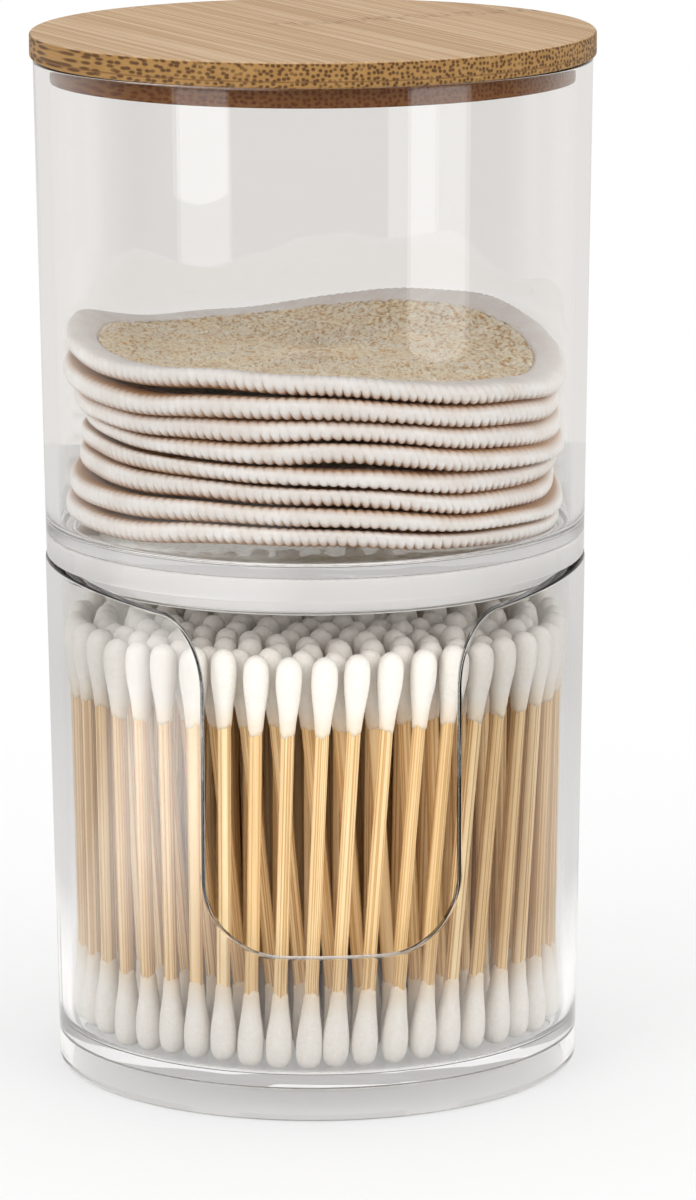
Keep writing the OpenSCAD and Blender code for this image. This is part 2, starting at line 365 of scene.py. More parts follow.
# Stick: split bamboo turned round, pale tan with fine lengthwise fibres; no two quite alike in tone.
stick_bamboo, tree = blank_material("stick_bamboo")
place = node(tree, "Attribute", attribute_name="grain")
fibre = bamboo(tree, place.outputs["Vector"], 2.4, (250, 226, 180), (200, 156, 98), (239, 204, 150))
each = node(tree, "NewGeometry")
tone = node(tree, "MapRange", {"Value": each.outputs["Random Per Island"], "To Min": 0.0, "To Max": 0.5})
toned = node(tree, "Mix", {
    0: tone.outputs[0], 6: fibre.outputs["Color"], 7: paint(222, 178, 116),
}, data_type="RGBA")
relief = node(tree, "Bump", {"Strength": 0.35, "Distance": 0.0001, "Height": fibre.outputs["Height"]})
wood = node(tree, "BsdfPrincipled", {
    "Base Color": toned.outputs[2], "Roughness": 0.55, "Normal": relief.outputs[0],
})
node(tree, "OutputMaterial", {"Surface": wood.outputs[0]})

# Cotton: wound fibre, white and matt, thin enough at its lower end for the stick to show through.
bud_cotton, tree = blank_material("bud_cotton")
thin = node(tree, "Attribute", attribute_name="thin")
place = node(tree, "TexCoord")
fluff = node(tree, "TexNoise", {
    "Vector": place.outputs["Object"], "Scale": 1500.0, "Detail": 4.0, "Roughness": 0.7,
})
ragged = node(tree, "Math", {0: thin.outputs["Fac"], 1: fluff.outputs[0]}, operation="MULTIPLY")
worn = node(tree, "MapRange", {"Value": ragged.outputs[0], "From Min": 0.12, "From Max": 0.62, "To Max": 0.85})
shade = node(tree, "MapRange", {"Value": fluff.outputs[0], "From Min": 0.3, "From Max": 0.7})
white = node(tree, "Mix", {
    0: shade.outputs[0], 6: paint(232, 225, 214), 7: paint(240, 236, 229),
}, data_type="RGBA")
faded = node(tree, "Mix", {0: worn.outputs[0], 6: white.outputs[2], 7: paint(228, 204, 168)}, data_type="RGBA")
nap = node(tree, "Bump", {"Strength": 0.5, "Distance": 0.0002, "Height": fluff.outputs[0]})
cotton = node(tree, "BsdfPrincipled", {
    "Base Color": faded.outputs[2], "Roughness": 0.95, "Sheen Weight": 0.25, "Sheen Roughness": 0.6,
    "Specular IOR Level": 0.2, "Normal": nap.outputs[0],
})
node(tree, "OutputMaterial", {"Surface": cotton.outputs[0]})


def along_swabs(k):
    """For each swab of ring k, the point under its foot's middle and its three axes."""
    radius = SWAB_OUTER_R - (k - 1) * ROW_STEP
    count = 1 if k == ROWS else int(180 / math.degrees(math.asin((2 * BUD_R + BUD_GAP) / 2 / radius)))
    placed = []
    for i in range(count):
        a = 360 * i / count + 11 * k
        lean = 0
        if k < ROWS:
            lean = (4 + k / 2 if k % 2 else -5 - k / 2) + 5 * math.cos(math.radians(2 * a - 30 - 50 * k))
        low, high = math.radians(a - lean / 2), math.radians(a + lean / 2)
        foot = radius * np.array([math.sin(low), -math.cos(low)])
        run = radius * (1 + ROW_SPREAD) * np.array([math.sin(high), -math.cos(high)]) - foot
        tilt = math.asin(np.hypot(*run) / SWAB_L)
        turn = math.atan2(run[1], run[0])
        axes = np.array((Matrix.Rotation(turn, 3, "Z") @ Matrix.Rotation(tilt, 3, "Y")))
        base = np.array([foot[0], foot[1], LOWER_FLOOR + 0.3 + BUD_R]) - axes[:, 2] * BUD_R
        # None stands quite like the next: a little higher, and its ends a little to one side.
        aside = np.array([math.cos(low), math.sin(low), 0.0])
        nudge = rng.uniform(-0.27, 0.27, 2)
        lifted = axes[:, 2] * rng.uniform(0.0, 1.1)
        axes = axes + np.outer(aside * (nudge[1] - nudge[0]) / SWAB_L, (0, 0, 1))
        placed.append((base + aside * nudge[0] + lifted, axes))
    return placed


STICK_INSET, STICK_LEVELS, STICK_SIDES = 2.5, 9, 12
# A bud's radius down from its tip: a drop, widest a third of the way, thinning onto the stick.
bud_down = np.array([0.0, 0.12, 0.5, 1.15, 2.1, 3.3, 4.6, 5.9, 7.2, 8.5, 9.8, 11.1, 12.3, 13.3, BUD_L])
bud_wide = np.array([0.25, 0.75, 1.4, 1.92, 2.22, 2.33, 2.34, 2.26, 2.11, 1.92, 1.73, 1.57, 1.46, 1.38, 1.28])

for k in range(1, ROWS + 1):
    segments = 18 if k <= 2 else 12
    turn = np.arange(segments) / segments * 2 * np.pi
    bud_points, bud_faces, bud_thin = [], [], []
    stick_points, stick_faces, grain = [], [], []
    for base, axes in along_swabs(k):
        for upper in (False, True):
            wobble = rng.uniform(-1, 1, 6)
            swell = 1 + 0.022 * (wobble[0] * np.sin(turn + 3 * wobble[1])[None]
                                 + wobble[2] * np.sin(2 * turn + 3 * wobble[3])[None]
                                 + 0.5 * wobble[4] * np.sin(bud_down[:, None] * 0.9 + turn + 6 * wobble[5]))
            radius = np.minimum(bud_wide[:, None] * swell, BUD_R * 1.02)
            down = np.repeat(bud_down[:, None], segments, 1)
            # The last turns of cotton end raggedly on the stick.
            ragged_end = 0.5 * np.sin(2 * turn + 5 * wobble[1]) + 0.4 * np.sin(5 * turn + 5 * wobble[3])
            down[-3:] += np.array([0.15, 0.4, 0.7])[:, None] * ragged_end
            height = SWAB_L - down if upper else down
            local = np.stack([radius * np.cos(turn), radius * np.sin(turn), height], -1)
            start = sum(map(len, bud_points))
            rows = len(bud_down)
            quads = ring_quads(rows, segments)
            if upper:
                quads = quads[:, ::-1]
            bud_points.append(local.reshape(-1, 3) @ axes.T + base)
            tip = np.arange(segments)
            foot = tip + (rows - 1) * segments
            caps = [tip, foot[::-1]] if upper else [tip[::-1], foot]
            bud_faces += (quads + start).tolist() + [cap + start for cap in caps]
            bud_thin.append(np.repeat(np.clip((bud_down - 8.0) / 6.0, 0, 1), segments))
        levels = np.linspace(STICK_INSET, SWAB_L - STICK_INSET, STICK_LEVELS)
        sides = np.arange(STICK_SIDES) / STICK_SIDES * 2 * np.pi
        bend = rng.uniform(-1, 1, 4)
        oval = np.sin(2 * sides[None] + 6 * bend[0] + levels[:, None] * 0.02) * bend[1]
        round_r = STICK_R * (0.975 + 0.02 * oval)
        height = np.repeat(levels[:, None], STICK_SIDES, 1)
        local = np.stack([round_r * np.cos(sides), round_r * np.sin(sides), height], -1)
        start = sum(map(len, stick_points))
        stick_points.append(local.reshape(-1, 3) @ axes.T + base)
        tip = np.arange(STICK_SIDES) + start
        stick_faces += (ring_quads(STICK_LEVELS, STICK_SIDES) + start).tolist()
        stick_faces += [tip[::-1], tip + (STICK_LEVELS - 1) * STICK_SIDES]
        shifted = local.reshape(-1, 3) * (1, 1, 0.035) + rng.uniform(0, 400, 3)
        grain.append(shifted)
    make_piece(f"swab_cotton_row_{k}", np.concatenate(bud_points), bud_faces, bud_cotton, "lower",
               [f"swab_buds_row_{k}"], {"thin": np.concatenate(bud_thin)})
    sticks = make_piece(f"swab_bamboo_row_{k}", np.concatenate(stick_points), stick_faces, stick_bamboo,
                        "lower", [f"swab_sticks_row_{k}"])
    lay = sticks.data.attributes.new("grain", "FLOAT_VECTOR", "POINT")
    lay.data.foreach_set("vector", np.concatenate(grain).astype(np.float32).ravel())


# Upper cup: the same clear plastic, a closed cup whose foot ring drops into the lower cup's rim
# and whose shoulder stands on it. Its rim is open for the lid's plug.
UPPER_R, UPPER_RIM_R, UPPER_RIM = 48.7, 50.0, 184.0
FOOT_OUT, FOOT_IN, FOOT_Z = 46.2, 43.8, 91.4
UPPER_UNDER, UPPER_FLOOR, UPPER_FLOOR_R = 97.8, 100.0, 46.39
CUP_COLUMNS = 360


def upper_outer_r(z):
    return UPPER_R + (UPPER_RIM_R - UPPER_R) * (z - LOWER_H) / (UPPER_RIM - LOWER_H)


def upper_inner_r(z):
    return UPPER_FLOOR_R + (UPPER_RIM_R - WALL - UPPER_FLOOR_R) * (z - UPPER_FLOOR) / (UPPER_RIM - UPPER_FLOOR)


# The inside of the foot ring is ground, so it glows evenly instead of showing the swabs behind it.
ground_moulding, tree = blank_material("ground_moulding")
place = node(tree, "TexCoord")
tooth = node(tree, "TexNoise", {"Vector": place.outputs["Object"], "Scale": 900.0, "Detail": 2.0})
matt_skin = node(tree, "Bump", {"Strength": 0.1, "Distance": 0.0001, "Height": tooth.outputs[0]})
frost = node(tree, "BsdfPrincipled", {
    "Base Color": paint(252, 250, 247), "Roughness": 0.45, "IOR": 1.57, "Transmission Weight": 0.14,
    "Normal": matt_skin.outputs[0],
})
lamp_rays = node(tree, "LightPath")
let_through = node(tree, "BsdfTransparent", {"Color": (0.9, 0.9, 0.9, 1.0)})
either = node(tree, "MixShader", {
    0: lamp_rays.outputs["Is Shadow Ray"], 1: frost.outputs[0], 2: let_through.outputs[0],
})
tint = node(tree, "VolumeAbsorption", {"Color": (0.66, 0.66, 0.72, 1.0), "Density": 3.0})
node(tree, "OutputMaterial", {"Surface": either.outputs[0], "Volume": tint.outputs[0]})

rim_outer, rim_inner = upper_outer_r(UPPER_RIM), upper_inner_r(UPPER_RIM)
GROUND_ROWS = (9, 19)  # from the corner under the floor down to the ring's lip
cup_section = np.concatenate([
    [[r, UPPER_UNDER] for r in (1, 8, 16, 24, 32, 38, 42, 42.9)],
    arc(FOOT_IN - 0.6, UPPER_UNDER - 0.6, 0.6, 90, 0, 5),
    [[FOOT_IN, z] for z in (97.0, 95.5, 94, 92.6, 92.0)],
    arc(FOOT_IN + 0.4, FOOT_Z + 0.4, 0.4, 180, 270, 4),
    [[45.0, FOOT_Z]],
    arc(FOOT_OUT - 0.4, FOOT_Z + 0.4, 0.4, -90, 0, 4),
    [[FOOT_OUT, z] for z in (92.1, 92.9, 93.7)],
    arc(FOOT_OUT + 0.25, LOWER_H - 0.25, 0.25, 180, 90, 3),
    [[r, LOWER_H] for r in (46.7, 47.4, 48.1)],
    arc(UPPER_R - 0.35, LOWER_H + 0.35, 0.35, -90, 0, 5),
    [[upper_outer_r(z), z] for z in (94.7, 95.6, 97, 99, 102, 107, 115, 125, 135, 145, 155, 165, 173)],
    [[upper_outer_r(z), z] for z in (179, 182.5, 183.2)],
    arc(rim_outer - 0.5, UPPER_RIM - 0.5, 0.5, 0, 90, 6),
    [[rim_outer - 1.2, UPPER_RIM]],
    arc(rim_inner + 0.5, UPPER_RIM - 0.5, 0.5, 90, 180, 6),
    [[upper_inner_r(z), z] for z in (183.1, 182.4, 179, 173, 165, 155, 145, 135, 125, 115, 108)],
    [[upper_inner_r(z), z] for z in (104, 102.3, 101.8)],
    arc(UPPER_FLOOR_R - INNER_ROUND, UPPER_FLOOR + INNER_ROUND, INNER_ROUND, 0, -90, 8),
    [[r, UPPER_FLOOR] for r in (44.5, 43.4, 38, 30, 22, 14, 6, 1)],
])
column_angle = np.radians(np.arange(CUP_COLUMNS) * 360 / CUP_COLUMNS)
cup_grid = on_cup(cup_section[:, :1], np.broadcast_to(column_angle, (len(cup_section), CUP_COLUMNS)),
                  np.repeat(cup_section[:, 1:], CUP_COLUMNS, 1))
turned("upper_cup_moulding", cup_grid, (0, 0, UPPER_UNDER), (0, 0, UPPER_FLOOR), clear_moulding, "upper",
       ["upper_cup"], other=(ground_moulding, *GROUND_ROWS))


# Pads: eight round washable pads, two faces of looped terry sewn together by an overlocked edge.
# They lie loosely on each other, so each rim waves a little more than the one under it.
PADS, PAD_R, TERRY_T, TERRY_R = 8, 45.29, 2.6, 38.99
PAD_FIRST, PAD_STEP, EDGING_W, PAD_WAVE = 101.9, 3.9, 6.0, 2.0
STITCHES, STITCH_COLUMNS = 166, 8
# How far each rim lies above or below an even stack, every 15 degrees from -105 to 105, pad 8 first.
RIM_LIE = np.array([
    [-0.2, -0.3, -0.5, -0.4, -0.5, 0.4, 0.2, -0.4, -0.8, -0.9, -0.1, -0.4, -0.8, -0.6, -0.3],
    [-0.6, -0.9, -1.2, -1.2, -1.9, -1.0, -0.4, -0.7, -0.9, -1.1, -0.8, -0.5, -0.4, -0.2, -0.1],
    [-0.6, -1.0, -1.7, -1.2, -1.3, -1.1, -0.8, -0.9, -0.8, -1.2, -1.4, -1.5, -1.6, -1.1, -0.7],
    [0.1, 0.2, 0.3, 0.1, -0.7, -1.3, -1.0, -0.3, -0.7, -1.4, -1.9, -1.9, -1.9, -1.9, -1.1],
    [1.3, 1.9, 1.9, 1.9, 1.2, 0.1, -0.8, -1.9, -1.9, -1.9, -1.3, -0.4, 0.0, 0.0, 0.0],
    [1.0, 1.5, 1.9, 1.9, 1.4, 0.7, 0.2, -0.3, -0.9, -1.9, -1.9, -1.9, -1.7, -0.8, 0.0],
    [1.5, 1.9, 1.9, 1.9, 1.4, 0.9, 0.2, -0.8, -1.3, -1.8, -1.5, -1.2, -0.8, -0.3, 0.0],
    [1.9, 1.9, 1.9, 1.5, 0.6, 1.2, 0.9, 0.1, -0.3, -0.2, -0.2, -0.1, 0.0, 0.0, 0.0],
])[::-1]
# How far each rim is pulled in at the left and at the right, pad 1 first.
PULL_LEFT = [0.3, 0.6, 2.4, 3.4, 3.2, 1.6, 0.2, 0.0]
PULL_RIGHT = [0.6, 0.4, 2.2, 0.8, 0.3, 0.6, 0.4, 0.0]
BACK_RISE = {8: 2.7, 7: 2.2, 6: 1.1, 5: 0.4}
OFF_CENTRE = 0.385  # how far each pad lies off the cup's axis


def rim_wave(k, a):
    up = (k - 1) / (PADS - 1)
    cos = lambda degrees: np.cos(np.radians(degrees))
    return PAD_WAVE * (0.8 + 0.5 * cos(2 * a + 20) + 0.35 * cos(3 * a)
                       + up * (0.6 + 0.8 * cos(a + 130) + 0.9 * cos(2 * a + 110) + 0.5 * cos(3 * a - 70)))


def around_rim(degrees, values):
    """Values by angle, softened so that the rim bends as cloth does, for every whole degree."""
    every = np.interp(np.arange(-180, 180), degrees, values)
    reach = np.arange(-20, 21)
    soft = np.exp(-((reach / 6.0) ** 2))
    return np.roll(np.convolve(np.tile(every, 3), soft / soft.sum(), "same")[360:720], -180)


def by_angle(every, a):
    return np.interp(np.asarray(a) % 360, np.arange(361), np.append(every, every[0]))


stops = np.concatenate([[-180, -150], np.arange(-105, 106, 15), [150, 180]])
rim_rest, rim_pull = [], []
for k in range(1, PADS + 1):
    rest = around_rim(stops, np.concatenate([[0, 0], RIM_LIE[k - 1], [0, 0]]))
    # The upper rims rise towards the back on the left.
    turned_by = (np.arange(360) + 180) % 360 - 180
    rest = rest + BACK_RISE.get(k, 0) * np.exp(-(((turned_by + 103) / 22.0) ** 2))
    wobble = rng.uniform(0, 360, 3)
    every = np.radians(np.arange(360))
    rest = rest + 0.16 * np.sin(9 * every + 0.6) + 0.07 * np.sin(14 * every + wobble[0])
    rim_rest.append(rest)
    left, right = PULL_LEFT[k - 1], PULL_RIGHT[k - 1]
    pulled = around_rim([-180, -150, -105, -70, -40, -15, 30, 55, 85, 120, 180],
                        [0, 0, left, left, left * 0.35, 0, 0, right, right, 0, 0])
    uneven = 0.15 * np.sin(8 * every + wobble[1]) + 0.07 * np.sin(15 * every + wobble[2])
    rim_pull.append(pulled + 0.22 + uneven)


def pad_points(k, r, a, dz):
    """Points of pad k at radius r, angle a in degrees and height dz from its middle."""
    aside = math.radians(137 * k)
    shift = OFF_CENTRE * np.array([math.cos(aside), math.sin(aside)])
    out = np.clip(r / PAD_R, 0, 1)
    z = PAD_FIRST + (k - 1) * PAD_STEP + dz
    z = z + rim_wave(k, a) * out ** 3 + by_angle(rim_rest[k - 1], a) * out ** 5
    r = r - by_angle(rim_pull[k - 1], a) * out ** 4
    around = np.radians(a)
    return np.stack([r * np.sin(around) + shift[0], -r * np.cos(around) + shift[1], z], -1)


# The hem swells until it meets the hems above and below it, and no further than its thread allows.
rim_middle = np.array([PAD_FIRST + (k - 1) * PAD_STEP + rim_wave(k, np.arange(360)) + rim_rest[k - 1]
                       for k in range(1, PADS + 1)])
meeting = np.clip((np.diff(rim_middle, axis=0) - 0.3) / 2, 0.6, 1.95)
hem_up = np.concatenate([meeting, 1.3 + 0.3 * np.cos(np.radians(np.arange(360)))[None]])
hem_down = np.concatenate([[np.clip(rim_middle[0] - (UPPER_FLOOR + 0.25), 0.9, 1.8)], meeting])


# Terry: short uncut loops of unbleached cotton, oatmeal, with painted shade between the loops and where they lie
# low.
terry_loops, tree = blank_material("terry_loops")
place = node(tree, "TexCoord")
loops = node(tree, "TexVoronoi", {"Vector": place.outputs["Object"], "Scale": 1150.0, "Randomness": 1.0})
patch = node(tree, "TexNoise", {"Vector": place.outputs["Object"], "Scale": 130.0, "Detail": 3.0})
fuzz = node(tree, "TexNoise", {"Vector": place.outputs["Object"], "Scale": 2600.0, "Detail": 3.0})
low_loop = node(tree, "Attribute", attribute_name="loop")
# Painted shade: the colour darkens towards tan where a loop lies low and in the hollows between loops.
deeper = node(tree, "Math", {
    0: low_loop.outputs["Fac"], 1: 0.6, 2: loops.outputs["Distance"],
}, operation="MULTIPLY_ADD")
ground = node(tree, "MapRange", {"Value": deeper.outputs[0], "From Min": 0.64, "From Max": 1.05})
blotch = node(tree, "MapRange", {"Value": patch.outputs[0], "From Min": 0.35, "From Max": 0.65})
pale = node(tree, "Mix", {
    0: blotch.outputs[0], 6: paint(255, 248, 228), 7: paint(255, 238, 204),
}, data_type="RGBA")
pile_shaded = node(tree, "Mix", {0: ground.outputs[0], 6: pale.outputs[2], 7: paint(217, 172, 112)}, data_type="RGBA")
# Painted shade: next to the hem, where two pads lie on each other, the cloth is painted brown.
gap_shade = node(tree, "Attribute", attribute_name="under")
gap_shaded = node(tree, "Mix", {
    0: gap_shade.outputs["Fac"], 6: pile_shaded.outputs[2], 7: paint(170, 108, 38),
}, data_type="RGBA")
rise = node(tree, "Math", {0: fuzz.outputs[0], 1: ground.outputs[0]}, operation="SUBTRACT")
pile = node(tree, "Bump", {"Strength": 0.65, "Distance": 0.0004, "Height": rise.outputs[0]})
cloth = node(tree, "BsdfPrincipled", {
    "Base Color": gap_shaded.outputs[2], "Roughness": 0.95, "Specular IOR Level": 0.2, "Normal": pile.outputs[0],
    "Sheen Weight": 0.8, "Sheen Tint": (1.0, 0.88, 0.7, 1.0), "Sheen Roughness": 0.4,
})
node(tree, "OutputMaterial", {"Surface": cloth.outputs[0]})

# Overlock thread: off-white spun cotton, side by side over the rim, the cloth's tan between turns with painted
# shade in the furrows, darkest on the underside.
overlock_thread, tree = blank_material("overlock_thread")
furrow = node(tree, "Attribute", attribute_name="furrow")
under = node(tree, "Attribute", attribute_name="under")
place = node(tree, "TexCoord")
twist = node(tree, "TexNoise", {
    "Vector": place.outputs["Object"], "Scale": 1900.0, "Detail": 3.0, "Roughness": 0.7,
})
soil = node(tree, "TexNoise", {"Vector": place.outputs["Object"], "Scale": 160.0, "Detail": 2.0})
# The cloth's tan between turns, deepened by painted shade in the furrows.
sunk = node(tree, "MapRange", {"Value": furrow.outputs["Fac"], "From Min": 0.5, "From Max": 1.0, "To Max": 0.6})
even = node(tree, "MapRange", {"Value": soil.outputs[0], "From Min": 0.35, "From Max": 0.65})
spun = node(tree, "Mix", {
    0: even.outputs[0], 6: paint(248, 244, 239), 7: paint(240, 233, 225),
}, data_type="RGBA")
tan_and_furrow_shade = node(tree, "Mix", {
    0: sunk.outputs[0], 6: spun.outputs[2], 7: paint(186, 150, 100),
}, data_type="RGBA")
# Painted shade: where the hem turns in between two pads the thread is painted brown.
shaded = node(tree, "Mix", {
    0: under.outputs["Fac"], 6: tan_and_furrow_shade.outputs[2], 7: paint(178, 122, 50),
}, data_type="RGBA")
ply = node(tree, "Bump", {"Strength": 0.55, "Distance": 0.0002, "Height": twist.outputs[0]})
yarn = node(tree, "BsdfPrincipled", {
    "Base Color": shaded.outputs[2], "Roughness": 0.9, "Sheen Weight": 0.2, "Specular IOR Level": 0.25,
    "Normal": ply.outputs[0],
})
node(tree, "OutputMaterial", {"Surface": yarn.outputs[0]})

inner_r = PAD_R - EDGING_W
# The edge's section: from its inner foot along the underside, round the rim and back on top.
edging_section = np.array([
    [inner_r, -0.95], [inner_r + 0.9, -1.35], [inner_r + 2.2, -1.52], [inner_r + 3.6, -1.52], [PAD_R - 1.3, -1.40],
    [PAD_R - 0.6, -1.12], [PAD_R - 0.15, -0.62], [PAD_R, 0.0], [PAD_R - 0.15, 0.66], [PAD_R - 0.6, 1.2],
    [PAD_R - 1.4, 1.5], [inner_r + 3.4, 1.56], [inner_r + 2.0, 1.5], [inner_r + 0.8, 1.36], [inner_r, 0.95],
])
section_step = np.gradient(edging_section, axis=0)
section_out = np.stack([section_step[:, 1], -section_step[:, 0]], -1)
section_out /= np.linalg.norm(section_out, axis=-1, keepdims=True)
# At each point of the section: how deep the ribs are, how dark between them, how far the knots stand
# out, how far the stitch leans and how much painted brown shade it gets where it turns in between two pads.
rib_depth = np.array([0.03, 0.15, 0.2, 0.28, 0.42, 0.46, 0.38, 0.3, 0.27, 0.27, 0.25, 0.22, 0.2, 0.14, 0.02])
notch = np.array([1, 1, 1, 1, 1, 1, 0.95, 0.75, 0.6, 0.65, 0.6, 0.5, 0.4, 0.3, 0.3])
knot_rise = np.array([0, 0, 0, 0.05, 0.2, 0.26, 0.15, 0.03, 0, 0, 0, 0, 0.05, 0.1, 0])
stitch_lean = np.array([-0.3, -0.3, -0.25, -0.2, -0.1, 0, 0.1, 0.2, 0.3, 0.4, 0.45, 0.35, 0.1, -0.2, -0.35])
turned_in_shade = np.array([1, 1, 1, 1, 0.9, 0.35, 0, 0, 0, 0.3, 0.85, 1, 1, 1, 1])
MEAN_LOOP, LOOP_TOP = 0.37, 0.12  # a loop's usual depth, 0 to 1; how far the tallest stand out

for k in range(1, PADS + 1):
    columns = STITCHES * STITCH_COLUMNS
    turn = np.arange(columns) / columns * 360
    drift = 0.18 * np.sin(np.radians(turn * 7 + 40 * k)) + 0.12 * np.sin(np.radians(turn * 17 + 90 * k))
    phase = turn / 360 * STITCHES + drift + stitch_lean[:, None]
    crest = np.abs(np.sin(np.pi * phase)) ** 0.65
    tight = 0.85 + 0.3 * rng.random(STITCHES)[(np.floor(phase).astype(int)) % STITCHES]
    push = -rib_depth[:, None] * (1 - crest) * tight + knot_rise[:, None] * crest
    radius = edging_section[:, :1] + section_out[:, :1] * push
    height = edging_section[:, 1:] + section_out[:, 1:] * push
    swell = np.where(height > 0, by_angle(hem_up[k - 1], turn) / 1.56, by_angle(hem_down[k - 1], turn) / 1.52)
    height = height * swell
    # Painted brown shade where the hem turns in between two pads; the top pad's upper side gets none.
    under = np.repeat(turned_in_shade[:, None], columns, 1)
    if k == PADS:
        under[8:] = 0
    points = pad_points(k, radius, np.broadcast_to(turn, radius.shape), height)
    rows = len(edging_section)
    closing = ring_quads(2, columns)
    closing[:, :2] += (rows - 1) * columns
    closing[:, 2:] -= columns
    faces = np.concatenate([ring_quads(rows, columns), closing])
    make_piece(f"pad_{k}_overlock", points.reshape(-1, 3), faces, overlock_thread, "upper",
               [f"pad_{k}_edging"], {"furrow": (1 - crest) * notch[:, None], "under": under})

    # Only the top pad shows its face, so it alone has a deep pile in fine steps.
    sectors, rings, top_pile = (400, 80, 0.72) if k == PADS else (120, 18, 0.28)
    turn = np.arange(sectors) / sectors * 360
    out_r = np.linspace((TERRY_R + 0.25) / rings, TERRY_R + 0.25, rings)[:, None]
    # The rings of points crowd at the middle, so the loops even out there.
    low_loops = MEAN_LOOP + (rng.random((2, rings, sectors)) ** 1.7 - MEAN_LOOP) * np.clip(out_r / 8, 0, 1)
    deep_pile = np.array([0.28, top_pile])[:, None, None] * np.minimum(1, out_r / 14)
    loop_rise = LOOP_TOP - deep_pile * low_loops
    skins = []
    for side, sign in ((0, -1), (1, 1)):
        rounded = 1 - 0.16 * (out_r / TERRY_R) ** 12
        dz = sign * (TERRY_T / 2 * rounded + loop_rise[side])
        jitter = 0.2 * (rng.random((rings, sectors)) - 1)
        spots = np.repeat(out_r, sectors, 1) + jitter * (out_r < TERRY_R)
        skins.append(pad_points(k, spots, np.broadcast_to(turn, (rings, sectors)), dz))
    grid = np.concatenate([skins[0], skins[1][::-1]])
    middle = TERRY_T / 2 + LOOP_TOP
    centre = pad_points(k, np.zeros(2), np.zeros(2), np.array([-middle, middle]))
    face = turned(f"pad_{k}_terry_face", grid, centre[0], centre[1], terry_loops, "upper",
                  [f"pad_{k}_terry"])
    # Painted shade: between two pads the cloth next to the hem is painted brown, as the thread is there.
    covered = np.array([k > 1, k < PADS])[:, None, None]
    hem_gap_shade = np.clip((out_r - 30) / 6, 0, 1) * covered * np.ones((2, rings, sectors))
    for key, lower_upper, at_centre in (("loop", low_loops, MEAN_LOOP), ("under", hem_gap_shade, 0)):
        values = np.concatenate([lower_upper[0].ravel(), lower_upper[1][::-1].ravel(), [at_centre] * 2])
        attribute = face.data.attributes.new(key, "FLOAT", "POINT")
        attribute.data.foreach_set("value", values.astype(np.float32))


# Lid: a disc and its plug turned from one glued bamboo board and sanded. The grain runs
# nearly front to back, so the front edge is end grain with its dark vessels.
LID_R, LID_TOP, PLUG_R, PLUG_Z = 50.6, 188.5, 46.95, 180.3
GRAIN_TURN = math.atan2(-0.9225, 0.3849)

lid_board, tree = blank_material("lid_board")
place = node(tree, "TexCoord")
along = node(tree, "Mapping", {"Vector": place.outputs["Object"], "Rotation": (0, 0, -GRAIN_TURN)})
board = node(tree, "SeparateXYZ", {0: along.outputs[0]})
long = node(tree, "Math", {0: board.outputs[0], 1: 0.022}, operation="MULTIPLY")
fibres = node(tree, "CombineXYZ", {0: board.outputs[1], 1: board.outputs[2], 2: long.outputs[0]})
end_cut = bamboo(tree, fibres.outputs[0], 1150.0, (157, 119, 66), (88, 56, 20), (144, 105, 52))
long_cut = bamboo(tree, fibres.outputs[0], 1100.0, (200, 172, 138), (172, 138, 101), (184, 151, 111))
facing = node(tree, "NewGeometry")
tilt = node(tree, "SeparateXYZ", {0: facing.outputs["Normal"]})
flat = node(tree, "MapRange", {"Value": tilt.outputs[2], "From Min": 0.55, "From Max": 0.9})
wood_mix = node(tree, "Mix", {
    0: flat.outputs[0], 6: end_cut.outputs["Color"], 7: long_cut.outputs["Color"],
}, data_type="RGBA")
# The glue line a quarter of the way up the disc.
level = node(tree, "Math", {0: board.outputs[2], 1: 0.1852}, operation="SUBTRACT")
near = node(tree, "Math", {0: level.outputs[0]}, operation="ABSOLUTE")
glue = node(tree, "MapRange", {
    "Value": near.outputs[0], "From Min": 0.00022, "From Max": 0.00006, "To Max": 0.7,
})
side_only = node(tree, "Math", {0: 1.0, 1: flat.outputs[0]}, operation="SUBTRACT")
glued = node(tree, "Math", {0: glue.outputs[0], 1: side_only.outputs[0]}, operation="MULTIPLY")
# Painted shade: the plug, which sits inside the cup's rim, is painted darker brown.
low = node(tree, "MapRange", {
    "Value": board.outputs[2], "From Min": 0.1841, "From Max": 0.1839, "To Max": 0.6,
})
plug_shaded = node(tree, "Mix", {
    0: low.outputs[0], 6: wood_mix.outputs[2], 7: paint(118, 58, 16),
}, data_type="RGBA")
jointed = node(tree, "Mix", {
    0: glued.outputs[0], 6: plug_shaded.outputs[2], 7: paint(104, 70, 34),
}, data_type="RGBA")
# The scar of one node across part of the top: short dark dashes in a narrow band.
scar_at = node(tree, "Math", {0: board.outputs[0], 1: 0.009}, operation="ADD")
scar_off = node(tree, "Math", {0: scar_at.outputs[0]}, operation="ABSOLUTE")
scar_band = node(tree, "MapRange", {"Value": scar_off.outputs[0], "From Min": 0.0042, "From Max": 0.0008})
scar_side = node(tree, "MapRange", {"Value": board.outputs[1], "From Min": -0.006, "From Max": -0.001})
dash_lie = node(tree, "Mapping", {"Vector": along.outputs[0], "Scale": (220.0, 1500.0, 0.0)})
dashes = node(tree, "TexNoise", {"Vector": dash_lie.outputs[0], "Scale": 1.0, "Detail": 2.0})
dark_dash = node(tree, "MapRange", {"Value": dashes.outputs[0], "From Min": 0.52, "From Max": 0.66})
scar = node(tree, "Math", {0: scar_band.outputs[0], 1: dark_dash.outputs[0]}, operation="MULTIPLY")
scar_part = node(tree, "Math", {0: scar.outputs[0], 1: scar_side.outputs[0]}, operation="MULTIPLY")
scar_top = node(tree, "Math", {0: scar_part.outputs[0], 1: flat.outputs[0]}, operation="MULTIPLY")
board_colour = node(tree, "Mix", {
    0: scar_top.outputs[0], 6: jointed.outputs[2], 7: paint(120, 84, 52),
}, data_type="RGBA")
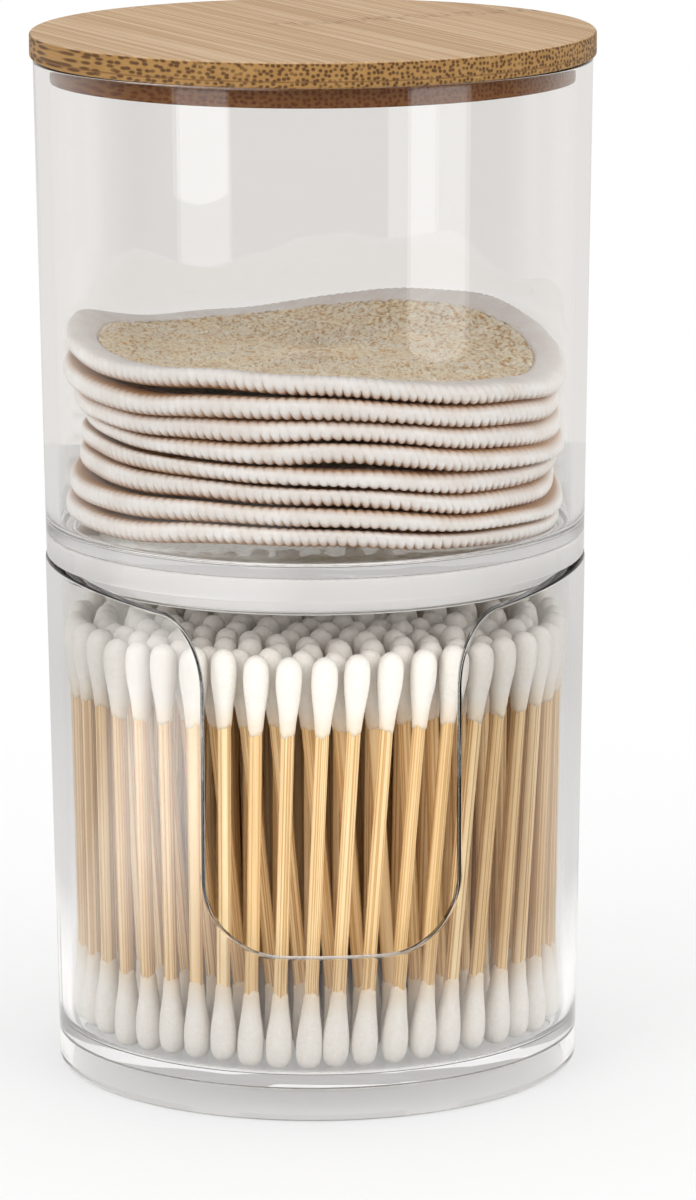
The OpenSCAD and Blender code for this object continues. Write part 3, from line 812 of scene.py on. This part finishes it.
relief = node(tree, "Bump", {"Strength": 0.4, "Distance": 0.00012, "Height": end_cut.outputs["Height"]})
gloss = node(tree, "MapRange", {
    "Value": long_cut.outputs["Height"], "From Min": -0.4, "From Max": 0.8, "To Min": 0.62, "To Max": 0.48,
})
turned_wood = node(tree, "BsdfPrincipled", {
    "Base Color": board_colour.outputs[2], "Roughness": gloss.outputs[0], "Specular IOR Level": 0.35,
    "Normal": relief.outputs[0],
})
node(tree, "OutputMaterial", {"Surface": turned_wood.outputs[0]})

lid_section = np.concatenate([
    [[r, PLUG_Z] for r in (1, 10, 20, 30, 40, 45, 46.2)],
    arc(PLUG_R - 0.4, PLUG_Z + 0.4, 0.4, -90, 0, 4),
    [[PLUG_R, z] for z in (181, 182, 183, 183.8)],
    [[PLUG_R + 0.1, UPPER_RIM], [48.5, UPPER_RIM + 0.02], [49.6, UPPER_RIM + 0.02]],
    arc(LID_R - 0.6, UPPER_RIM + 0.62, 0.6, -90, 0, 5),
    [[LID_R, z] for z in (184.9, 185.6, 186.4, 187.2, 187.7)],
    arc(LID_R - 0.6, LID_TOP - 0.6, 0.6, 0, 90, 6),
    [[r, LID_TOP] for r in (49.7, 48.5, 44, 36, 28, 20, 12, 5, 1)],
])
lid_columns = 300
lid_angle = np.radians(np.arange(lid_columns) * 360 / lid_columns)
lid_grid = on_cup(lid_section[:, :1], np.broadcast_to(lid_angle, (len(lid_section), lid_columns)),
                  np.repeat(lid_section[:, 1:], lid_columns, 1))
turned("bamboo_lid", lid_grid, (0, 0, PLUG_Z), (0, 0, LID_TOP), lid_board, "lid", ["lid"])


# Studio: a round white table top that fades into a white room, two upright softboxes that show
# as strips in the plastic, and broad soft lamps. None of it is part of the object.
FLOOR_R = 0.62

table_white, tree = blank_material("table_white")
path = node(tree, "LightPath")
place = node(tree, "TexCoord")
away = node(tree, "VectorMath", {0: place.outputs["Object"]}, operation="LENGTH")
fade = node(tree, "MapRange", {
    "Value": away.outputs["Value"], "From Min": 0.06, "From Max": 0.34, "To Min": 0.5, "To Max": 1.0,
})
direct = node(tree, "Math", {0: path.outputs["Diffuse Depth"], 1: 0.5}, operation="LESS_THAN")
shown = node(tree, "Math", {0: fade.outputs[0], 1: direct.outputs[0]}, operation="MULTIPLY")
grit = node(tree, "TexNoise", {"Vector": place.outputs["Object"], "Scale": 900.0, "Detail": 2.0})
paper = node(tree, "Mix", {
    0: grit.outputs[0], 6: (0.79, 0.79, 0.79, 1), 7: (0.83, 0.83, 0.83, 1),
}, data_type="RGBA")
matt = node(tree, "BsdfPrincipled", {
    "Base Color": paper.outputs[2], "Roughness": 0.8, "Specular IOR Level": 0.2,
})
through = node(tree, "Mix", {
    0: path.outputs["Is Camera Ray"], 6: (0.80, 0.785, 0.765, 1), 7: (1, 1, 1, 1),
}, data_type="RGBA")
# As the plastic mirrors it: dark in front of the holder, bright by the left lamp, plain behind.
where = node(tree, "SeparateXYZ", {0: place.outputs["Object"]})
lamp_side = node(tree, "MapRange", {
    "Value": where.outputs[0], "From Min": -0.06, "From Max": -0.2, "To Min": 0.04, "To Max": 5.0,
})
behind = node(tree, "MapRange", {"Value": where.outputs[1], "From Min": -0.03, "From Max": 0.07})
near_pool = node(tree, "Mix", {0: behind.outputs[0], 2: lamp_side.outputs[0], 3: 0.8})
beyond = node(tree, "MapRange", {"Value": away.outputs["Value"], "From Min": 0.28, "From Max": 0.56})
far_front = node(tree, "MapRange", {
    "Value": where.outputs[1], "From Min": -0.1, "From Max": 0.3, "To Min": 0.05, "To Max": 0.9,
})
far_pool = node(tree, "Mix", {0: beyond.outputs[0], 2: near_pool.outputs[0], 3: far_front.outputs[0]})
close_by = node(tree, "MapRange", {"Value": away.outputs["Value"], "From Min": 0.09, "From Max": 0.15})
pooled = node(tree, "Mix", {0: close_by.outputs[0], 2: 1.45, 3: far_pool.outputs[0]})
mirrored = node(tree, "Math", {0: path.outputs["Glossy Depth"], 1: 0.5}, operation="GREATER_THAN")
see_through = node(tree, "Mix", {0: close_by.outputs[0], 2: 1.05, 3: 0.73})
in_plastic = node(tree, "Mix", {0: mirrored.outputs[0], 2: see_through.outputs[0], 3: pooled.outputs[0]})
pool = node(tree, "Mix", {0: path.outputs["Is Camera Ray"], 2: in_plastic.outputs[0], 3: 1.0})
glow = node(tree, "Emission", {"Color": through.outputs[2], "Strength": pool.outputs[0]})
floor_mix = node(tree, "MixShader", {0: shown.outputs[0], 1: matt.outputs[0], 2: glow.outputs[0]})
node(tree, "OutputMaterial", {"Surface": floor_mix.outputs[0]})

floor_mesh = bpy.data.meshes.new("table_top")
floor_angle = np.radians(np.arange(96) * 3.75)
floor_edge = np.stack([FLOOR_R * np.cos(floor_angle), FLOOR_R * np.sin(floor_angle), np.full(96, -0.0002)], -1)
floor_mesh.from_pydata(floor_edge.tolist(), [], [list(range(96))])
floor_mesh.materials.append(table_white)
table_top = bpy.data.objects.new("table_top", floor_mesh)
bpy.context.scene.collection.objects.link(table_top)

room = bpy.data.worlds.new("room")
bpy.context.scene.world = room
room.use_nodes = True
room.cycles.sampling_method = "NONE"
tree = room.node_tree
tree.nodes.clear()
path = node(tree, "LightPath")
sky = node(tree, "TexCoord")
sense = node(tree, "SeparateXYZ", {0: sky.outputs["Generated"]})
above = node(tree, "MapRange", {
    "Value": sense.outputs[2], "From Min": 0.05, "From Max": 0.45, "To Min": 0.93, "To Max": 0.52,
})
front = node(tree, "MapRange", {
    "Value": sense.outputs[1], "From Min": -0.1, "From Max": 0.5, "To Min": 0.05, "To Max": 0.9,
})
mirror = node(tree, "Math", {0: above.outputs[0], 1: front.outputs[0]}, operation="MULTIPLY")
mirrored = node(tree, "Math", {0: path.outputs["Glossy Depth"], 1: 0.5}, operation="GREATER_THAN")
seen = node(tree, "Mix", {0: mirrored.outputs[0], 2: above.outputs[0], 3: mirror.outputs[0]})
plain = node(tree, "Mix", {0: path.outputs["Is Camera Ray"], 2: seen.outputs[0], 3: 1.0})
lit = node(tree, "Math", {0: path.outputs["Diffuse Depth"], 1: 0.5}, operation="GREATER_THAN")
side_light = node(tree, "MapRange", {
    "Value": sense.outputs[2], "From Min": 0.5, "From Max": 0.9, "To Min": 1.32, "To Max": 0.65,
})
strength = node(tree, "Mix", {0: lit.outputs[0], 2: plain.outputs[0], 3: side_light.outputs[0]})
shine = node(tree, "Math", {0: path.outputs["Is Camera Ray"], 1: lit.outputs[0]}, operation="MAXIMUM")
haze = node(tree, "Mix", {0: shine.outputs[0], 6: (0.93, 0.905, 0.875, 1), 7: (1, 1, 1, 1)}, data_type="RGBA")
glow = node(tree, "Background", {"Color": haze.outputs[2], "Strength": strength.outputs[0]})
node(tree, "OutputWorld", {"Surface": glow.outputs[0]})


def softbox(name, azimuth, distance, low, high, width, radiance, mirrored):
    """An upright lamp facing the holder; azimuth in degrees from the front towards +X.
    A mirrored one only shows in the plastic, any other only lights."""
    lamp = bpy.data.lights.new(name, "AREA")
    lamp.shape = "RECTANGLE"
    middle = (low + high) / 2
    a = math.radians(azimuth)
    spot = np.array([distance * math.sin(a), -distance * math.cos(a), middle])
    reach = np.array([0.0, 0.0, 0.09 if not mirrored else middle]) - spot
    tall = high - low
    lamp.size, lamp.size_y = width, tall
    lamp.energy = radiance * math.pi * width * tall
    box = bpy.data.objects.new(name, lamp)
    bpy.context.scene.collection.objects.link(box)
    flat = math.hypot(reach[0], reach[1])
    box.location = spot
    heading = math.atan2(reach[1], reach[0]) - math.pi / 2
    box.rotation_euler = (math.pi / 2 + math.atan2(reach[2], flat), 0, heading)
    box.visible_camera = False
    box.visible_glossy = box.visible_transmission = mirrored
    box.visible_diffuse = not mirrored
    lamp.cycles.use_multiple_importance_sampling = mirrored


softbox("strip_left", -50.1, 1.00, 0.0, 1.0, 0.42, 1.05, True)
softbox("strip_right", 48.4, 0.73, 0.0, 1.0, 0.34, 1.3, True)
softbox("key_left", -48.0, 1.5, 0.6, 1.7, 0.9, 2.55, False)
softbox("fill_right", 46.0, 1.5, 0.5, 1.6, 0.9, 2.1, False)
softbox("overhead", 170.0, 0.25, 1.0, 1.9, 0.9, 0.7, False)

bpy.context.scene.view_settings.view_transform = "Standard"
bpy.context.scene.cycles.max_bounces = 24
bpy.context.scene.cycles.glossy_bounces = 16
bpy.context.scene.cycles.transmission_bounces = 20
bpy.context.scene.cycles.transparent_max_bounces = 16
